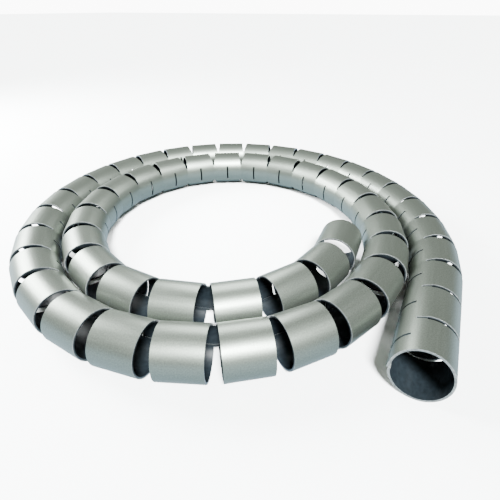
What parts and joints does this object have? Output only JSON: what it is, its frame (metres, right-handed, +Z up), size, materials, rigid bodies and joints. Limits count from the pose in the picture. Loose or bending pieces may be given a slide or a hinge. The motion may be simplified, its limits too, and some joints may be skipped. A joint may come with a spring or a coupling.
{
  "type": "spiral cable wrap",
  "caption": "Split plastic sleeve for bundling cables, cut by staggered cross slots into short rings on one uncut spine and coiled flat.",
  "frame": {"origin": "centre of the coil's box, on the surface it lies on", "axes": "+Z up, across the flat coil; the straight open mouth points along -Y at the +X side"},
  "size_m": [0.3088, 0.2956, 0.028],
  "materials": {
    "sleeve_plastic": "silver grey, satin"
  },
  "bodies": {
    "root": {"cable_wrap": "sleeve_plastic"}
  },
  "joints": []
}
